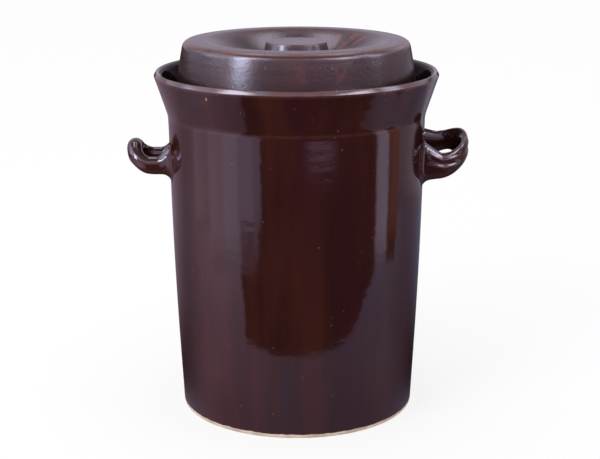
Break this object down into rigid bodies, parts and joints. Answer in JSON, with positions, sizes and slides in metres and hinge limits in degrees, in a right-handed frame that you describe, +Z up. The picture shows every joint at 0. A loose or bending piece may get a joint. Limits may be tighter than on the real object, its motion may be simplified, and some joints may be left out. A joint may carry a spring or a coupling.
{
  "type": "fermentation crock",
  "caption": "Glazed stoneware fermentation crock with a flared water gutter, curled side handles, a dished lid with a button knob and half-round weight stones inside.",
  "frame": {"origin": "centre of the flat foot, on the pot's turning axis", "axes": "+Z up along the pot's axis, +X through the right handle as the picture shows it, -Y towards the viewer"},
  "size_m": [0.3398, 0.28, 0.3715],
  "materials": {
    "pot_glaze": "glossy dark red-brown glaze, bare tan clay at the foot",
    "handle_glaze": "glossy dark red-brown glaze over hand-pulled clay",
    "lid_glaze": "satin to glossy red-brown glaze, thin and redder at the edges",
    "stone_clay": "matt unglazed stoneware"
  },
  "bodies": {
    "pot": {"crock_body": "pot_glaze", "gutter_collar": "pot_glaze", "handle_left": "handle_glaze", "handle_right": "handle_glaze"},
    "lid": {"lid_shell": "lid_glaze", "lid_knob": "lid_glaze"},
    "stone_left": {"weight_stone_left": "stone_clay"},
    "stone_right": {"weight_stone_right": "stone_clay"}
  },
  "joints": [
    {"name": "lid_lift", "type": "slide", "parent": "pot", "child": "lid", "axis": [0, 0, 1], "range_m": [0, 0.15]},
    {"name": "stone_left_lift", "type": "slide", "parent": "pot", "child": "stone_left", "axis": [0, 0, 1], "range_m": [0, 0.22]},
    {"name": "stone_right_lift", "type": "slide", "parent": "pot", "child": "stone_right", "axis": [0, 0, 1], "range_m": [0, 0.22]}
  ]
}
